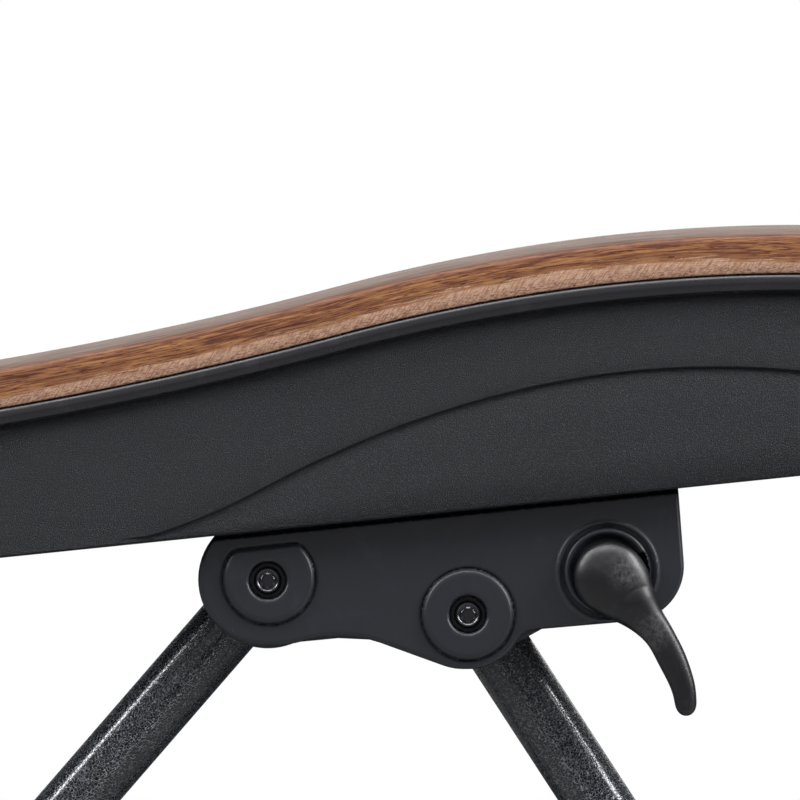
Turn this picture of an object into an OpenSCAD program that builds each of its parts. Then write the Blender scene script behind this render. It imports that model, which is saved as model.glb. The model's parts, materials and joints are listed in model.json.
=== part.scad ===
// Folding zero-gravity lounge chair: tube frame, laced slings, sliding armrests
// with a lock lever at each side bracket. Millimetres.
// The chair faces +X and is symmetric about the XZ plane; it stands on Z = 0.
// Side profiles are laid out as [x, z] from the rear leg pivot.

/* [Frame] */
// Outside diameter of every frame tube
tube_d = 25; // [22:1:25]
// Wall of every frame tube
tube_wall = 1.2; // [1:0.1:2]
// Height of the rear leg pivot above the floor
pivot_height = 535; // [525:5:545]
// Distance from the mid plane to the leg tubes
leg_y = 315; // [314:1:316]
// Distance from the mid plane to the back and seat rails
rail_y = 266; // [265:1:266]
// Angle of the rear legs from vertical
rear_splay = 40.9; // [38:0.1:43]
// Angle of the front legs from vertical
front_splay = 33.3; // [32:0.1:34]

/* [Back and seat] */
// Length of the back frame above the hip pivot
back_len = 850; // [800:10:870]
// Length of the seat rail from hip to knee
seat_len = 470; // [450:5:490]
// Length of the leg rest rail from the knee
calf_len = 390; // [360:5:410]
// Slope of the leg rest below horizontal
calf_slope = 48; // [44:1:52]

/* [Armrest] */
// Width of the armrest
arm_w = 60; // [58:1:60]
// Thickness of the arm cap's edge
cap_h = 14.7; // [12:0.1:16]
// Wall of the hollow arm body
arm_wall = 3; // [2.5:0.1:3]

/* [Hidden] */
$fn = 48;
r_tube = tube_d / 2;

// Pivots and directions, from the rear leg pivot
P1 = [0, 0];
P2 = [76.6, -13];
LOCK = [130, 2.5];
ARM_PIVOT = [-186, -15];
HINGE = 165;
leg_dir = 270 + front_splay;
HIP = ARM_PIVOT + HINGE * [cos(leg_dir), sin(leg_dir)];
SEAT_PIVOT = P2 + HINGE * [cos(leg_dir), sin(leg_dir)];
hip_drop = 20;
seat_rise = 28;

// Feet
bar_z = 14 - pivot_height;
rear_len = -bar_z / cos(rear_splay);
front_len = (P2[1] - bar_z) / cos(front_splay);
REAR_FOOT = rear_len * [-sin(rear_splay), -cos(rear_splay)];
FRONT_FOOT = P2 + front_len * [sin(front_splay), -cos(front_splay)];
bend_r = 60;
back_bend_r = 300;

// Back frame corners
back_dir = leg_dir - 180;
lumbar = 230;
upper_dir = back_dir - 10;
tube_gap = 45;
BACK_START = HIP + tube_gap * [cos(back_dir), sin(back_dir)];
LUMBAR = HIP + lumbar * [cos(back_dir), sin(back_dir)];
BACK_TOP = LUMBAR + (back_len - lumbar) * [cos(upper_dir), sin(upper_dir)];

// Seat frame corners
seat_a = HIP - [0, hip_drop];
seat_b = SEAT_PIVOT + [0, seat_rise];
seat_dir = atan2(seat_b[1] - seat_a[1], seat_b[0] - seat_a[0]);
SEAT_START = seat_a - 22 * [cos(seat_dir), sin(seat_dir)];
KNEE = seat_a + seat_len * [cos(seat_dir), sin(seat_dir)];
CALF_END = KNEE + calf_len * [cos(calf_slope), -sin(calf_slope)];
// The chair's middle lies on the origin
pivot_x = -(CALF_END[0] + BACK_TOP[0]) / 2;
sling_half = rail_y - r_tube - 16;
sling_t = 3;
sling_sag = 16;

// Round hubs where the back frame turns on the arms, and discs at the hip
hub_r = 34;
hip_disc_r = 30;

// Side layers, as distance from the mid plane
arm_in = leg_y - arm_w / 2;
arm_out = leg_y + arm_w / 2;
shell_in = 295;
plate_in = 299.6;
plate_out = 327.9;
shell_out = 336;
plate_t = 2.5;
hinge_plate_y = 279.5;

// Armrest profile: a long hollow sweep behind, a crest in front
arm_rear = -205;
arm_front = 272;
crest_x = 203;
crest_z = 117.5;
crest_r = 660;
join_x = 31;
join_slope = 0.266;
tail_r = 1400;
function crest(x) = crest_z - pow(crest_x - x, 2) / (2 * crest_r);
function border(x) = x >= join_x ? crest(x)
    : crest(join_x) - join_slope * (join_x - x) + pow(join_x - x, 2) / (2 * tail_r);
function arm_bottom(x) = 19.1 + 0.1025 * x;
arm_steps = 18;
function arm_x(i, x0, x1) = x0 + (x1 - x0) * i / arm_steps;

// Fasteners
m6 = 3;
m8 = 4;
fit = 0.05;

// ---- helpers ----

// Puts a side profile's frame in the chair's frame
module place() { translate([pivot_x, 0, pivot_height]) children(); }

// Draws a left side part, or its mirror image on the right
module on_side(left) {
    if (left) place() children();
    else place() mirror([0, 1, 0]) children();
}

// A 2D side profile, extruded from y0 to y1
module slab(y0, y1) {
    translate([0, y1, 0]) rotate([90, 0, 0]) linear_extrude(y1 - y0) children();
}

// A round bar along Y at profile point p
module pin(p, r, y0, y1) {
    translate([p[0], y0, p[1]]) rotate([-90, 0, 0]) cylinder(r = r, h = y1 - y0);
}

// A flat bar with round ends between two profile points
module link2d(p, q, w) {
    d = q - p;
    translate(p) circle(w / 2);
    translate(q) circle(w / 2);
    translate(p) rotate(atan2(d[1], d[0])) translate([0, -w / 2]) square([norm(d), w]);
}

// A straight tube along X
module straight_tube(len) {
    rotate([0, 90, 0]) difference() {
        cylinder(r = r_tube, h = len);
        translate([0, 0, -1]) cylinder(r = r_tube - tube_wall, h = len + 2);
    }
}

// A tube in the XY plane through points, bent to radius bend at each inner one
module tube_path(points, bend) {
    n = len(points) - 1;
    way = [for (i = [0 : n - 1]) let (d = points[i + 1] - points[i]) atan2(d[1], d[0])];
    turn = [for (i = [0 : n]) i == 0 || i == n ? 0 : (way[i] - way[i - 1] + 540) % 360 - 180];
    cut = [for (t = turn) bend * tan(abs(t) / 2)];
    for (i = [0 : n - 1]) {
        along_way = [cos(way[i]), sin(way[i])];
        translate(points[i] + cut[i] * along_way) rotate(way[i])
            straight_tube(norm(points[i + 1] - points[i]) - cut[i] - cut[i + 1]);
    }
    for (i = [1 : 1 : n - 1]) {
        side = sign(turn[i]);
        start = points[i] - cut[i] * [cos(way[i - 1]), sin(way[i - 1])];
        translate(start + side * bend * [-sin(way[i - 1]), cos(way[i - 1])])
            rotate(way[i - 1] - side * 90 + min(turn[i], 0))
            rotate_extrude(angle = abs(turn[i])) translate([bend, 0]) difference() {
                circle(r_tube);
                circle(r_tube - tube_wall);
            }
    }
}

// A bent tube in a side profile at distance y from the mid plane
module side_tube(points, y, bend) {
    translate([0, y, 0]) rotate([90, 0, 0]) tube_path(points, bend);
}

// A tube across the chair, its ends bent through a right angle.
// corner is the profile point where the centre lines meet, dir the way the ends leave.
module cross_bar(corner, dir, half) {
    end = bend_r + 0.5;
    translate([corner[0], 0, corner[1]]) rotate([0, -dir, 0])
        tube_path([[end, -half], [0, -half], [0, half], [end, half]], bend_r);
}

// ---- armrest ----

module arm_cap_shape() {
    top = [for (i = [0 : arm_steps]) let (x = arm_x(i, arm_rear, arm_front)) [x, border(x) + cap_h]];
    low = [for (i = [arm_steps : -1 : 0]) let (x = arm_x(i, arm_rear, arm_front)) [x, border(x)]];
    slab(arm_in - 1, arm_out + 1) polygon(concat(top, low));
}

module arm_cap(left) { color("peru") on_side(left) arm_cap_shape(); }

module arm_profile(x0, x1, drop, bottom) {
    top = [for (i = [0 : arm_steps]) let (x = arm_x(i, x0, x1)) [x, border(x) - drop]];
    polygon(concat(top, [[x1, arm_bottom(x1) - bottom], [x0, arm_bottom(x0) - bottom]]));
}

module arm_body(left) {
    ceiling = 9;
    color("dimgray") on_side(left) difference() {
        union() {
            difference() {
                slab(arm_in, arm_out) arm_profile(arm_rear, arm_front, 0, 0);
                slab(arm_in + arm_wall, arm_out - arm_wall)
                    arm_profile(arm_rear + arm_wall, arm_front - arm_wall, ceiling, 20);
            }
            slab(arm_in + 1, arm_in + 11) difference() {
                link2d(ARM_PIVOT, ARM_PIVOT + [4, 40], 32);
            }
        }
        pin(ARM_PIVOT, m8 + fit, arm_in - 5, arm_out);
    }
}

module slide_rail(left) {
    color("silver") on_side(left) {
        slab(leg_y - 3, leg_y + 3) polygon([for (p = [[95, 58], [245, 58], [245, 74], [95, 74]])
            [p[0], p[1] + 0.1025 * (p[0] - 130)]]);
        for (x = [104, 236])
            translate([x - 6, leg_y - 3, 70]) cube([12, 6, border(x) - 9 - 70 + 1]);
    }
}

module slide_block(left) {
    color("darkgray") on_side(left) difference() {
        union() {
            slab(leg_y - 4, leg_y + 4) link2d(LOCK, [LOCK[0] - 4, 50], 18);
            translate([126, leg_y - 9, 62]) rotate([0, -5.86, 0]) translate([-17, 0, -17]) cube([34, 18, 30]);
        }
        translate([126, leg_y - 3.6, 62]) rotate([0, -5.86, 0]) translate([-30, 0, -5.2]) cube([60, 7.2, 40]);
        pin(LOCK, m8 + fit, 290, 340);
    }
}

// ---- lock bracket ----

module bracket_outline(top) {
    translate(P1) circle(26);
    translate(P2) circle(20.5);
    translate([138, 5.6]) circle(20.5);
    polygon([[-24, -10], [-22, 10], [-12, top - 16], [60, top - 4], [155.6, top], [158.4, 8], [138, -15],
        [105, -18.5], [95, -24], [65, -31], [52.7, -26.1], [40, -22.7], [27, -22.1], [1, -24.6]]);
}

module bracket_cover(left) {
    color("black") on_side(left) difference() {
        slab(plate_out + plate_t, shell_out) bracket_outline(44);
        for (p = [P1, P2]) {
            pin(p, m6 + fit, 320, 340);
            pin(p, 7.35, 333.6, 340);
        }
        pin(LOCK, m8 + fit, 320, 340);
    }
}

module bracket_inner(left) {
    color("black") on_side(left) difference() {
        slab(shell_in, plate_in - 0.1) bracket_outline(44);
        for (p = [P1, P2]) {
            pin(p, m6 + fit, 290, 302);
            pin(p, 7.35, 290, 296.5);
        }
        pin(LOCK, m8 + fit, 290, 302);
    }
}

module bracket_plates(left) {
    color("gray") on_side(left) for (y = [plate_in, plate_out]) difference() {
        slab(y, y + plate_t - 0.1) bracket_outline(40);
        for (p = [P1, P2]) pin(p, m6 + fit, 290, 340);
        pin(LOCK, m8 + fit, 290, 340);
    }
}

module leg_bolts(left) {
    color("black") on_side(left) for (p = [P1, P2]) difference() {
        union() {
            pin(p, m6, 293.6, 334);
            pin(p, 5.35, 334, 337.4);
            pin(p, 5.6, 292, 296.2);
        }
        translate([p[0], 338, p[1]]) rotate([90, 0, 0]) cylinder(r = 2.3, h = 3, $fn = 6);
    }
}

module clamp_bolt(left) {
    color("silver") on_side(left) {
        pin(LOCK, m8, 290.5, 340);
        pin(LOCK, 8, 289.4, 294.8);
    }
}

module lock_lever(left) {
    TIP = [160, -46];
    color("black") on_side(left) difference() {
        union() {
            pin(LOCK + [0, 0.8], 18.3, shell_out + 0.3, shell_out + 2.4);
            pin(LOCK, 13.8, shell_out + 0.3, shell_out + 4.6);
            slab(shell_out + 0.3, shell_out + 3.4) {
                link2d(LOCK + [6, -10], [150, -22], 14);
                link2d([150, -22], TIP, 9);
            }
        }
        pin(LOCK, m8 + fit, 330, 340.2);
    }
}

// ---- pivots ----

module arm_pivot_bolts() {
    color("silver") for (left = [true, false]) on_side(left) {
        pin(ARM_PIVOT, m8, rail_y - r_tube - 8.3, arm_in + 14);
        pin(ARM_PIVOT, hub_r, rail_y - r_tube - 8.3, rail_y - r_tube - 0.3);
        pin(ARM_PIVOT, 6.5, arm_in + 11.3, arm_in + 16);
    }
}

module hip_pivot_bolts() {
    color("silver") for (left = [true, false]) on_side(left) {
        pin(HIP, m8, rail_y - 3, hinge_plate_y + 8);
        pin(HIP, 7, rail_y - 3, rail_y + 1.7);
        pin(HIP, 7, rail_y + 6.3, hinge_plate_y - 0.3);
        pin(HIP, hip_disc_r, hinge_plate_y + 3.3, hinge_plate_y + 8);
    }
}

module seat_studs() {
    color("silver") for (left = [true, false]) on_side(left) {
        pin(SEAT_PIVOT, 8, 283.8, leg_y - r_tube - 0.1);
        pin(SEAT_PIVOT, m8, leg_y - r_tube - 0.1, leg_y + r_tube + 1);
        pin(SEAT_PIVOT, 7, leg_y + r_tube + 0.1, leg_y + r_tube + 5);
    }
}

// ---- legs ----

module leg_tube(left, top, foot, bore_at) {
    d = (foot - top) / norm(foot - top);
    color("dimgray") on_side(left) difference() {
        side_tube([top - 15 * d, foot - (bend_r + 0.5) * d], leg_y, 1);
        pin(top, m6 + fit, 290, 340);
        if (bore_at != top) pin(bore_at, m8 + fit, 290, 340);
    }
}

module front_leg(left) { leg_tube(left, P2, FRONT_FOOT, SEAT_PIVOT); }
module rear_leg(left) { leg_tube(left, P1, REAR_FOOT, P1); }

module front_base_bar() {
    color("dimgray") place() cross_bar(FRONT_FOOT, 90 + front_splay, leg_y);
}

module rear_base_bar() {
    color("dimgray") place() cross_bar(REAR_FOOT, 90 - rear_splay, leg_y);
}

// A rubber sleeve with a flat sole under each end of a base bar
module feet(foot) {
    color("black") for (left = [true, false]) on_side(left) difference() {
        union() {
            pin(foot, 14, 205, 240);
            translate([foot[0] - 13, 205, -pivot_height]) cube([26, 35, 14]);
        }
        pin(foot, r_tube, 200, 245);
    }
}

// ---- back frame ----

module back_rail(left) {
    up = [cos(upper_dir), sin(upper_dir)];
    color("dimgray") on_side(left) difference() {
        side_tube([BACK_START, LUMBAR, BACK_TOP - (bend_r + 0.5) * up], rail_y, back_bend_r);
        pin(ARM_PIVOT, m8 + fit, 240, 290);
    }
}

module back_top_bar() {
    color("dimgray") place() cross_bar(BACK_TOP, upper_dir - 180, rail_y);
}

module hip_plate(left) {
    color("gray") on_side(left) difference() {
        slab(hinge_plate_y, hinge_plate_y + 3) link2d(HIP, ARM_PIVOT, 24);
        pin(HIP, m8 + fit, 270, 290);
        pin(ARM_PIVOT, m8 + fit, 270, 290);
    }
}

// ---- seat and leg rest frame ----

knee_turn = seat_dir + calf_slope;
knee_cut = bend_r * tan(knee_turn / 2);
KNEE_BACK = KNEE - knee_cut * [cos(seat_dir), sin(seat_dir)];
KNEE_FRONT = KNEE + knee_cut * [cos(calf_slope), -sin(calf_slope)];

module seat_rail(left) {
    color("dimgray") on_side(left) side_tube([SEAT_START, KNEE_BACK], rail_y, 1);
}

module knee_bends() {
    centre = KNEE_BACK + bend_r * [sin(seat_dir), -cos(seat_dir)];
    color("dimgray") for (left = [true, false]) on_side(left)
        translate([centre[0], rail_y, centre[1]]) rotate([90, 0, 0]) rotate(90 - calf_slope)
        rotate_extrude(angle = knee_turn) translate([bend_r, 0]) difference() {
            circle(r_tube);
            circle(r_tube - tube_wall);
        }
}

module calf_rail(left) {
    shin = [cos(calf_slope), -sin(calf_slope)];
    color("dimgray") on_side(left)
        side_tube([KNEE_FRONT, CALF_END - (bend_r + 0.5) * shin], rail_y, 1);
}

// Lugs saddled on the seat rails: the hip pivot's above, the leg pivot's below
module seat_lugs() {
    color("gray") for (left = [true, false]) on_side(left) difference() {
        union() {
            slab(rail_y + 2, rail_y + 6) {
                translate(HIP) circle(12);
                translate([HIP[0] - 12, seat_a[1] + 4]) square([24, hip_drop - 4]);
            }
            slab(rail_y + 6, 282.7) {
                translate(SEAT_PIVOT) circle(12);
                translate([SEAT_PIVOT[0] - 12, SEAT_PIVOT[1]]) square([24, seat_rise + 6]);
            }
        }
        translate([SEAT_START[0], rail_y, SEAT_START[1]]) rotate([0, 90 - seat_dir, 0])
            cylinder(r = r_tube + 0.02, h = seat_len);
        pin(HIP, m8 + fit, rail_y, 290);
        pin(SEAT_PIVOT, m8, rail_y + 12, 290);
    }
}

module foot_end_bar() {
    color("dimgray") place() cross_bar(CALF_END, 180 - calf_slope, rail_y);
}

module end_cap(p, dir) {
    d = [cos(dir), sin(dir)];
    translate([p[0], rail_y, p[1]]) rotate([0, 90 - dir, 0]) {
        cylinder(r = r_tube, h = 3);
        translate([0, 0, -9]) cylinder(r = r_tube - tube_wall - 0.1, h = 9);
    }
}

module rail_end_caps() {
    color("black") for (left = [true, false]) on_side(left) end_cap(SEAT_START, seat_dir + 180);
}

module back_end_caps() {
    color("black") for (left = [true, false]) on_side(left) end_cap(BACK_START, back_dir + 180);
}

// ---- slings, lacing and pillow ----

// A sagging strip of fabric between two profile points: side is 1 where the line p to q sags to its right, else -1
module sling_strip(p, q, side) {
    d = q - p;
    sag_r = (pow(sling_half, 2) + pow(sling_sag, 2)) / (2 * sling_sag);
    translate([p[0], 0, p[1]]) rotate([0, 90 - atan2(d[1], d[0]), 0]) linear_extrude(norm(d))
        intersection() {
            translate([side * (sling_sag - sag_r), 0]) difference() {
                circle(sag_r, $fn = 240);
                circle(sag_r - sling_t, $fn = 240);
            }
            translate([side > 0 ? -5 : -sling_sag - 5, -sling_half]) square([sling_sag + 10, 2 * sling_half]);
        }
}

function along(p, q, s) = p + s * (q - p) / norm(q - p);

module back_sling() {
    color("#3a4350") place() {
        sling_strip(along(HIP, LUMBAR, 80), LUMBAR, -1);
        sling_strip(LUMBAR, along(BACK_TOP, LUMBAR, 50), -1);
    }
}

module seat_sling() {
    color("#3a4350") place() {
        sling_strip(along(seat_a, KNEE, 45), KNEE, 1);
        sling_strip(KNEE, along(CALF_END, KNEE, 50), 1);
    }
}

// Short elastic loops from the sling's edge to the rail
module lacing(p, q, first, pitch, n) {
    inner = sling_half + 0.3;
    outer = rail_y - r_tube - 0.3;
    for (left = [true, false], i = [0 : n - 1]) {
        c = along(p, q, first + i * pitch);
        on_side(left) translate([c[0], inner, c[1]]) rotate([-90, 0, 0]) cylinder(r = 2, h = outer - inner, $fn = 16);
    }
}

module back_lacing() { color("black") lacing(LUMBAR, BACK_TOP, 30, 54, 10); }
module seat_lacing() {
    color("black") {
        lacing(seat_a, KNEE, 70, 54, 8);
        lacing(KNEE, CALF_END, 40, 54, 6);
    }
}

pillow_at = 131;
pillow_half = 150;

module head_pillow() {
    c = along(BACK_TOP, LUMBAR, pillow_at);
    lift = 26;
    n = [sin(upper_dir), -cos(upper_dir)];
    color("#3a4350") place() translate([c[0] + lift * n[0], 0, c[1] + lift * n[1]])
        rotate([0, 90 - upper_dir, 0]) rotate([90, 0, 0]) translate([0, 0, -pillow_half])
        linear_extrude(2 * pillow_half) {
            for (s = [-1, 1]) translate([0, s * 45]) circle(20);
            translate([-20, -45]) square([40, 90]);
        }
}

// A flat elastic band round the sling, behind the pillow
module pillow_strap() {
    c = along(BACK_TOP, LUMBAR, pillow_at + 15);
    half = sling_half + 4;
    color("black") place() translate([c[0], 0, c[1]]) rotate([0, 90 - upper_dir, 0])
        linear_extrude(30) difference() {
            translate([-sling_sag - 4, -half]) square([sling_sag + 9.6, 2 * half]);
            translate([-sling_sag - 2, -half + 2]) square([sling_sag + 5.6, 2 * half - 4]);
        }
}

// ---- nodes ----

arm_cap(false);  // arm_cap_right
arm_cap(true);  // arm_cap_left
arm_body(false);  // arm_body_right
arm_body(true);  // arm_body_left
slide_rail(false);  // slide_rail_right
slide_rail(true);  // slide_rail_left
slide_block(false);  // slide_block_right
slide_block(true);  // slide_block_left
bracket_cover(false);  // bracket_cover_right
bracket_cover(true);  // bracket_cover_left
bracket_inner(false);  // bracket_inner_right
bracket_inner(true);  // bracket_inner_left
bracket_plates(false);  // bracket_plates_right
bracket_plates(true);  // bracket_plates_left
leg_bolts(false);  // leg_bolts_right
leg_bolts(true);  // leg_bolts_left
clamp_bolt(false);  // clamp_bolt_right
clamp_bolt(true);  // clamp_bolt_left
lock_lever(false);  // lock_lever_right
lock_lever(true);  // lock_lever_left
arm_pivot_bolts();
hip_pivot_bolts();
seat_studs();
front_leg(false);  // front_leg_right
front_leg(true);  // front_leg_left
front_base_bar();
feet(FRONT_FOOT);  // front_feet
rear_leg(false);  // rear_leg_right
rear_leg(true);  // rear_leg_left
rear_base_bar();
feet(REAR_FOOT);  // rear_feet
back_rail(false);  // back_rail_right
back_rail(true);  // back_rail_left
back_top_bar();
hip_plate(false);  // hip_plate_right
hip_plate(true);  // hip_plate_left
seat_rail(false);  // seat_rail_right
seat_rail(true);  // seat_rail_left
knee_bends();
calf_rail(false);  // calf_rail_right
calf_rail(true);  // calf_rail_left
seat_lugs();
foot_end_bar();
rail_end_caps();
back_end_caps();
back_sling();
seat_sling();
back_lacing();
seat_lacing();
head_pillow();
pillow_strap();
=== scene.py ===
import json
import math

import bmesh
import bpy
import numpy as np
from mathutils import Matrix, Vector


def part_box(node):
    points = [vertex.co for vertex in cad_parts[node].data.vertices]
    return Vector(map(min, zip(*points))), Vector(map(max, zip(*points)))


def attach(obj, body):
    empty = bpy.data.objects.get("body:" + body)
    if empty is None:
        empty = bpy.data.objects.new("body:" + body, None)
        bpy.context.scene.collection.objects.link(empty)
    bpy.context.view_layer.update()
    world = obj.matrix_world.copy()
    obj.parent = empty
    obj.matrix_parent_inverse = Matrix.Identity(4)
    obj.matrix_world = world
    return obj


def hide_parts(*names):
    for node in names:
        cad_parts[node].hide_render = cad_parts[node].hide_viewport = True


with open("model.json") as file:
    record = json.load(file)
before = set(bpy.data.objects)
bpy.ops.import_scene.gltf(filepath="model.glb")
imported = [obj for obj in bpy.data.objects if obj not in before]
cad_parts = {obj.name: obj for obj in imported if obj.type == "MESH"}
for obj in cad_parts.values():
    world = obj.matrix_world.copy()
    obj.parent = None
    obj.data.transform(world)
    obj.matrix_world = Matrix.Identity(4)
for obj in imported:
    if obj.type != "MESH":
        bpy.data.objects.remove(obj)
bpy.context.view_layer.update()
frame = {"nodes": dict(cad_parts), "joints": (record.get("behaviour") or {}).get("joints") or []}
MM = 0.001

# ---------------- places, from the frame

JOINTS = {j["name"]: j for j in frame["joints"]}


def pivot(joint):
    """A joint's place in the side profile, as [x, z] in millimetres."""
    x, _, z = JOINTS[joint]["pos_m"]
    return np.array([x, z]) / MM


# Side profiles are drawn in millimetres from the rear leg's screw.
ORIGIN = pivot("rear_leg_fold")
REAR_LEG = np.zeros(2)
FRONT_LEG = pivot("fold") - ORIGIN
LOCK = pivot("arm_tilt_right") - ORIGIN
ARM_PIVOT = pivot("back_fold") - ORIGIN
HIP = pivot("seat_fold") - ORIGIN
arm_low, arm_high = (np.array(corner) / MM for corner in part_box("arm_body_left"))
ARM_REAR, ARM_FRONT = arm_low[0] - ORIGIN[0], arm_high[0] - ORIGIN[0]
ARM_Y = (arm_low[1] + arm_high[1]) / 2
TUBE_R = 12.5
CAP_H = 14.7
SIDES = {"right": -1, "left": 1}


def sweep_line(x, crest, radius, join_x, slope, tail_radius):
    """An S-shaped line: a crest of one radius in front, a hollow of another behind join_x."""
    top_x, top_z = crest
    join_z = top_z - (top_x - join_x) ** 2 / (2 * radius)
    back = join_x - x
    tail = join_z - slope * back + back ** 2 / (2 * tail_radius)
    return np.where(x >= join_x, top_z - (top_x - x) ** 2 / (2 * radius), tail)


def border(x):
    """The line where the cap meets the arm body."""
    return sweep_line(x, (203, 117.5), 660, 31, 0.266, 1400)


def step_line(x):
    """The line on the arm's wall where the lower panel starts."""
    return sweep_line(x, (172, 81.4), 325, -5, 0.52, 184)


def arm_bottom(x):
    """The lower edge of the arm's wall."""
    return 19.1 + 0.1025 * x


def smooth(t):
    """An S-curve from 0 to 1."""
    t = np.clip(t, 0, 1)
    return t * t * (3 - 2 * t)


def length(vectors):
    return np.linalg.norm(vectors, axis=-1)


def unit(vectors):
    return vectors / length(vectors)[..., None]


def polar(angle, reach):
    """A vector of the side profile from its angle in degrees and its length."""
    return reach * np.array([math.cos(math.radians(angle)), math.sin(math.radians(angle))])


def assign(thing, **settings):
    """Sets a thing's attributes and gives it back."""
    for key, value in settings.items():
        setattr(thing, key, value)
    return thing


def pairs(*names):
    """The right and the left one of each named node."""
    return [name + "_" + side for name in names for side in SIDES]


# ---------------- node helpers


def srgb(r, g, b, tone=1.0):
    """A colour given as 0-255 screen values, times a tone, as the linear RGBA that shaders take."""
    def linear(v):
        v = v * tone / 255
        return v / 12.92 if v <= 0.04045 else ((v + 0.055) / 1.055) ** 2.4
    return (linear(r), linear(g), linear(b), 1.0)


class Nodes:
    """A node tree with short calls for the nodes used here."""

    def __init__(self, owner):
        owner.use_nodes = True
        self.tree = owner.node_tree

    def add(self, kind, **settings):
        return assign(self.tree.nodes.new(kind), **settings)

    def put(self, value, socket):
        """Links a socket to an output, or sets it to a plain value."""
        if isinstance(value, bpy.types.NodeSocket):
            self.tree.links.new(value, socket)
        else:
            socket.default_value = value

    def set(self, node, **inputs):
        for key, value in inputs.items():
            self.put(value, node.inputs[key.replace("_", " ")])
        return node

    def feed(self, node, *values):
        """Fills a node's inputs in order and gives its first output."""
        for socket, value in zip(node.inputs, values):
            self.put(value, socket)
        return node.outputs[0]

    def split(self, source):
        node = self.add("ShaderNodeSeparateXYZ")
        self.put(source, node.inputs[0])
        return node.outputs

    def ramp(self, fac, *stops):
        node = self.add("ShaderNodeValToRGB")
        points = node.color_ramp.elements
        while len(points) < len(stops):
            points.new(0.5)
        for point, (at, colour) in zip(points, stops):
            point.position = at
            point.color = colour if isinstance(colour, tuple) else (colour, colour, colour, 1)
        self.put(fac, node.inputs["Fac"])
        return node.outputs["Color"]

    def math(self, kind, *values):
        return self.feed(self.add("ShaderNodeMath", operation=kind), *values)

    def mix(self, fac, a, b):
        node = self.add("ShaderNodeMix", data_type="RGBA")
        for at, value in ((0, fac), (6, a), (7, b)):
            self.put(value, node.inputs[at])
        return node.outputs[2]


class Look(Nodes):
    """A material's nodes round its main shader, patterned by the object's own coordinates."""

    def __init__(self, name, roughness=0.5, metallic=0.0, specular=0.5):
        self.material = bpy.data.materials.new(name)
        super().__init__(self.material)
        self.shader = self.tree.nodes["Principled BSDF"]
        self.set(self.shader, Roughness=roughness, Metallic=metallic, Specular_IOR_Level=specular)
        self.place = self.add("ShaderNodeTexCoord").outputs["Object"]

    def scaled(self, scale, source=None):
        node = self.set(self.add("ShaderNodeMapping"), Vector=source or self.place, Scale=scale)
        return node.outputs["Vector"]

    def noise(self, scale, detail=2.0, roughness=0.5, source=None, distortion=0.0):
        node = self.add("ShaderNodeTexNoise")
        self.set(node, Vector=source or self.place, Scale=scale, Detail=detail,
                 Roughness=roughness, Distortion=distortion)
        return node.outputs["Fac"]

    def cells(self, scale, source=None, feature="F1"):
        node = self.add("ShaderNodeTexVoronoi", feature=feature)
        self.set(node, Vector=source or self.place, Scale=scale)
        return node.outputs["Distance"]

    def attribute(self, name):
        return self.add("ShaderNodeAttribute", attribute_name=name).outputs["Fac"]

    def colour(self, value):
        self.set(self.shader, Base_Color=value)

    def bump(self, height, strength, distance):
        node = self.set(self.add("ShaderNodeBump"), Height=height, Strength=strength, Distance=distance)
        self.set(self.shader, Normal=node.outputs["Normal"])


# ---------------- materials


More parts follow.
